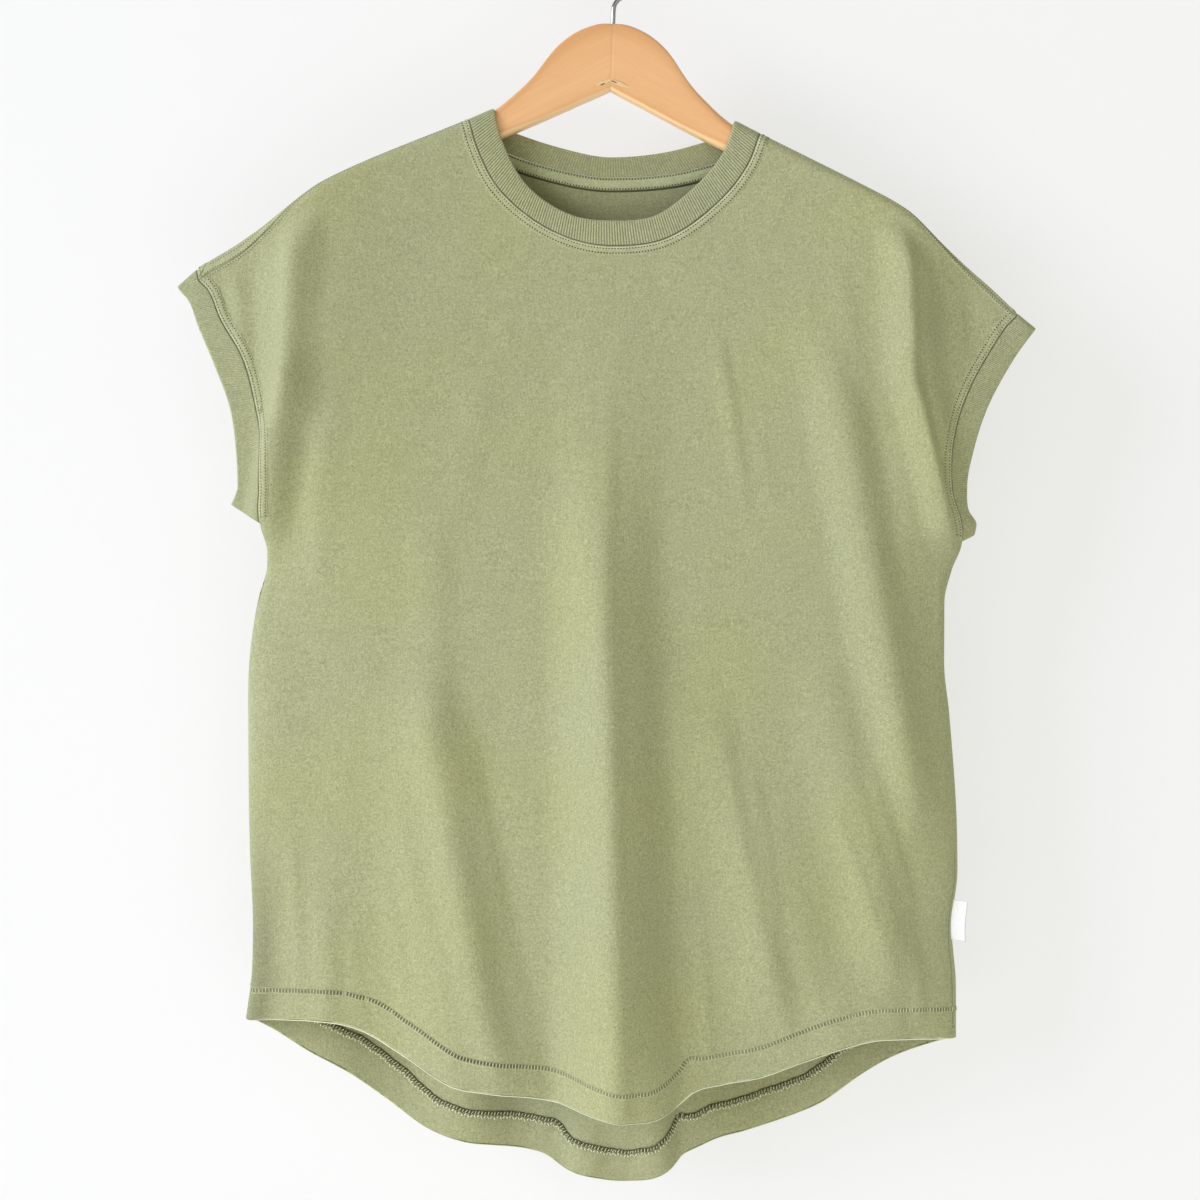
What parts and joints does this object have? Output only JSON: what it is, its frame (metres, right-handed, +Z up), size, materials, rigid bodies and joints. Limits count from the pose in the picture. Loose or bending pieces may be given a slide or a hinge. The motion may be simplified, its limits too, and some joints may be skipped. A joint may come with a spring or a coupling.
{
  "type": "t-shirt",
  "caption": "Short cap-sleeve jersey t-shirt with a rib crew neck, rib cuffs and a curved hem, hung on a contoured wooden hanger with a wire hook.",
  "frame": {"origin": "inside of the hook's crown, where a rail carries it", "axes": "+Z up; the front of the shirt faces -Y; +X is to the right of someone looking at its front"},
  "size_m": [0.5953, 0.0753, 0.8717],
  "materials": {
    "jersey": "matte cotton single jersey, soft and slightly fuzzy",
    "rib_knit": "matte cotton 1x1 rib",
    "tape_cloth": "matte cotton tape",
    "label_tape": "bare white woven tape, satin",
    "hanger_wood": "clear lacquered light beech, semi-gloss",
    "hook_steel": "bright plated wire"
  },
  "bodies": {
    "root": {"front_panel": "jersey", "back_panel": "jersey", "neck_band": "rib_knit", "arm_band_left": "rib_knit", "arm_band_right": "rib_knit", "neck_tape": "tape_cloth", "side_label": "label_tape", "hanger_body": "hanger_wood", "hanger_hook": "hook_steel"}
  },
  "joints": []
}
